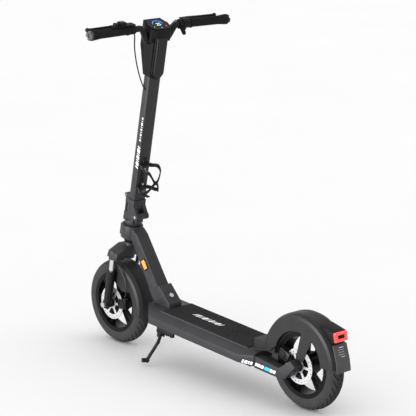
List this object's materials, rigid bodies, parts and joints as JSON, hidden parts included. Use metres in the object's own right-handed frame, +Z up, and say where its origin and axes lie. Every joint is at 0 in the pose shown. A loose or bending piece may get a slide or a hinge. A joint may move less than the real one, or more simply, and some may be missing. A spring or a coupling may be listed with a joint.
{
  "type": "electric kick scooter",
  "caption": "Folding electric kick scooter with ribbed deck, sprung fork, spoked wheels with discs, swept bar with levers, thumb throttle, display, bottle cage and side stand.",
  "frame": {"origin": "on the ground below the middle of the scooter's length, in its middle plane", "axes": "+X forward, +Y to the rider's left, +Z up; the wheels turn about Y"},
  "size_m": [1.2728, 0.619, 1.2093],
  "materials": {
    "frame_metal": "satin painted",
    "black_metal": "satin painted",
    "black_plastic": "fine grained",
    "soft_rubber": "matt ribbed",
    "tyre_rubber": "matt with tread",
    "steel": "brushed",
    "bright_tube": "polished",
    "orange_lens": "prismatic",
    "red_lens": "prismatic",
    "black_glass": "polished",
    "lamp_lens": "clear",
    "hose_black": "satin",
    "plate_grey": "satin",
    "bar_end_grey": "satin",
    "button_red": "satin"
  },
  "bodies": {
    "frame": {"deck_shell": "frame_metal", "deck_pan": "black_plastic", "deck_mat": "soft_rubber", "battery": "black_plastic", "neck": "frame_metal", "neck_base": "frame_metal", "frame_screws": "steel", "reflectors": "orange_lens", "reflector_bezels": "black_plastic", "headset": "black_metal", "rear_arms": "frame_metal", "rear_axle": "steel", "rear_fender": "black_plastic", "tail_housing": "black_plastic", "tail_lens": "red_lens", "mud_plate": "plate_grey", "rear_caliper": "black_metal", "kick_bracket": "black_metal", "charge_port": "black_plastic", "rear_cable": "hose_black"},
    "charge_cap": {"charge_cap": "soft_rubber"},
    "kickstand": {"kick_leg": "black_metal"},
    "steering": {"fork_crown": "frame_metal", "stanchions": "bright_tube", "fold_base": "frame_metal", "fold_pin": "steel"},
    "lowers": {"fork_lowers": "black_metal", "front_axle": "steel", "front_caliper": "black_metal", "front_hose": "hose_black", "front_fender": "black_plastic"},
    "front_wheel": {"front_tyre": "tyre_rubber", "front_rim": "black_metal", "front_hub": "black_metal", "front_rotor": "steel"},
    "rear_wheel": {"rear_tyre": "tyre_rubber", "rear_rim": "black_metal", "rear_hub": "black_metal", "rear_rotor": "steel"},
    "stem": {"fold_collar": "frame_metal", "latch_pin": "steel", "stem_tube": "frame_metal", "stem_head": "black_plastic", "head_panel": "black_plastic", "headlight": "lamp_lens", "handlebar": "black_metal", "grips": "soft_rubber", "bar_ends": "bar_end_grey", "display_body": "black_plastic", "display_glass": "black_glass", "control_left": "black_plastic", "control_right": "black_plastic", "bottle_cage": "black_plastic", "stem_screws": "steel", "stem_cables": "hose_black"},
    "latch": {"latch_lever": "black_metal"},
    "brake_lever_left": {"brake_lever_left": "black_metal"},
    "brake_lever_right": {"brake_lever_right": "black_metal"},
    "throttle": {"throttle": "black_plastic"},
    "signal_button": {"signal_button": "button_red"}
  },
  "joints": [
    {"name": "steering_turn", "type": "hinge", "parent": "frame", "child": "steering", "pos_m": [0.46938, 0, 0.1525], "axis": [-0.1925, 0, 0.9813], "range_deg": [-45, 45]},
    {"name": "fork_travel", "type": "slide", "parent": "steering", "child": "lowers", "axis": [-0.1925, 0, 0.9813], "range_m": [0, 0.014], "stiffness_N_per_m": 15000, "springref_m": -0.008},
    {"name": "front_wheel_spin", "type": "hinge", "parent": "lowers", "child": "front_wheel", "pos_m": [0.48395, 0, 0.1525], "axis": [0, 1, 0], "continuous": true},
    {"name": "rear_wheel_spin", "type": "hinge", "parent": "frame", "child": "rear_wheel", "pos_m": [-0.47205, 0, 0.1525], "axis": [0, 1, 0], "continuous": true},
    {"name": "stem_fold", "type": "hinge", "parent": "steering", "child": "stem", "pos_m": [0.36461, 0, 0.48913], "axis": [0, 1, 0], "range_deg": [-92, 0]},
    {"name": "latch_open", "type": "hinge", "parent": "stem", "child": "latch", "pos_m": [0.42277, 0, 0.56148], "axis": [0, 1, 0], "range_deg": [-110, 0]},
    {"name": "kickstand_swing", "type": "hinge", "parent": "frame", "child": "kickstand", "pos_m": [0.15397, 0.09, 0.12216], "axis": [0, 1, 0], "range_deg": [0, 105]},
    {"name": "charge_cap_lift", "type": "hinge", "parent": "frame", "child": "charge_cap", "pos_m": [0.08286, -0.103, 0.17091], "axis": [0.9981, 0, 0.061], "range_deg": [-110, 0]},
    {"name": "brake_lever_left_pull", "type": "hinge", "parent": "stem", "child": "brake_lever_left", "pos_m": [0.28443, 0.12421, 1.18368], "axis": [-0.1925, 0, 0.9813], "range_deg": [0, 5.5], "stiffness_Nm_per_rad": 1, "springref_deg": -2.86},
    {"name": "brake_lever_right_pull", "type": "hinge", "parent": "stem", "child": "brake_lever_right", "pos_m": [0.28443, -0.12421, 1.18368], "axis": [0.1925, 0, -0.9813], "range_deg": [0, 5.5], "stiffness_Nm_per_rad": 1, "springref_deg": -2.86},
    {"name": "throttle_push", "type": "hinge", "parent": "stem", "child": "throttle", "pos_m": [0.26082, -0.09615, 1.17497], "axis": [-0.0411, -0.9991, -0.0081], "range_deg": [0, 40], "stiffness_Nm_per_rad": 0.2, "springref_deg": -8.59},
    {"name": "signal_button_press", "type": "slide", "parent": "stem", "child": "signal_button", "axis": [0.1925, 0, -0.9813], "range_m": [0, 0.002], "stiffness_N_per_m": 300, "springref_m": -0.001}
  ]
}
